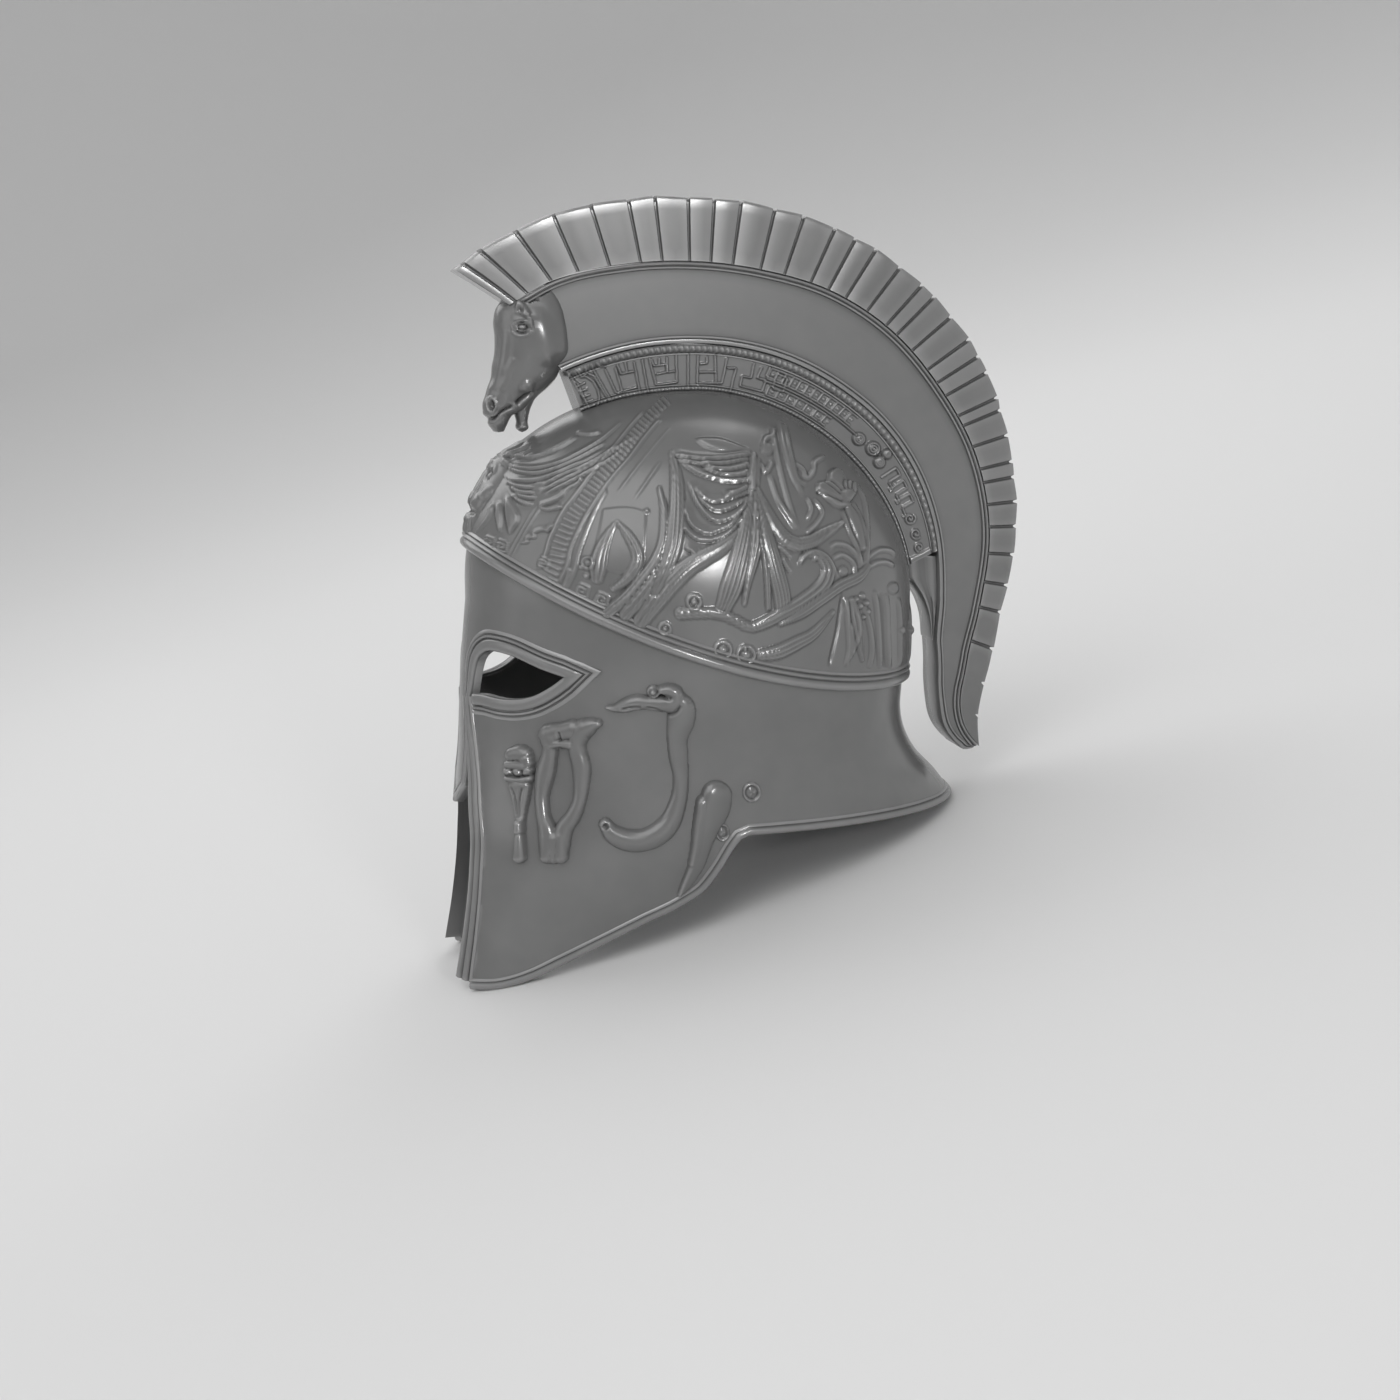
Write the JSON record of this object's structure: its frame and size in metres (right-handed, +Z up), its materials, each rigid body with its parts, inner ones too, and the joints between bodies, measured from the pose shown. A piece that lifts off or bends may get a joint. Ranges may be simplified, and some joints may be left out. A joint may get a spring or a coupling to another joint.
{
  "type": "corinthian helmet",
  "caption": "Crested Corinthian helmet in satin grey metal, with an embossed bowl, nasal, almond eye openings and long cheek guards, resting on a surface.",
  "frame": {"origin": "on the floor, below the middle of the whole object's box", "axes": "+Z up, -Y towards the face opening, +X to the wearer's left; the helmet leans back in this frame, as it rests"},
  "size_m": [0.1812, 0.351, 0.3427],
  "materials": {
    "satin_grey_metal": "satin grey cast metal, slightly worn on its raised edges"
  },
  "bodies": {
    "root": {"shell": "satin_grey_metal", "skull_cap": "satin_grey_metal", "crest": "satin_grey_metal", "crest_plume": "satin_grey_metal", "crest_holder": "satin_grey_metal", "horse_head": "satin_grey_metal", "vase_figure_left": "satin_grey_metal", "lyre_figure_left": "satin_grey_metal", "serpent_hook_left": "satin_grey_metal", "horn_left": "satin_grey_metal", "oval_boss_left": "satin_grey_metal", "rosette_left": "satin_grey_metal", "vase_figure_right": "satin_grey_metal", "lyre_figure_right": "satin_grey_metal", "serpent_hook_right": "satin_grey_metal", "horn_right": "satin_grey_metal", "oval_boss_right": "satin_grey_metal", "rosette_right": "satin_grey_metal"}
  },
  "joints": []
}
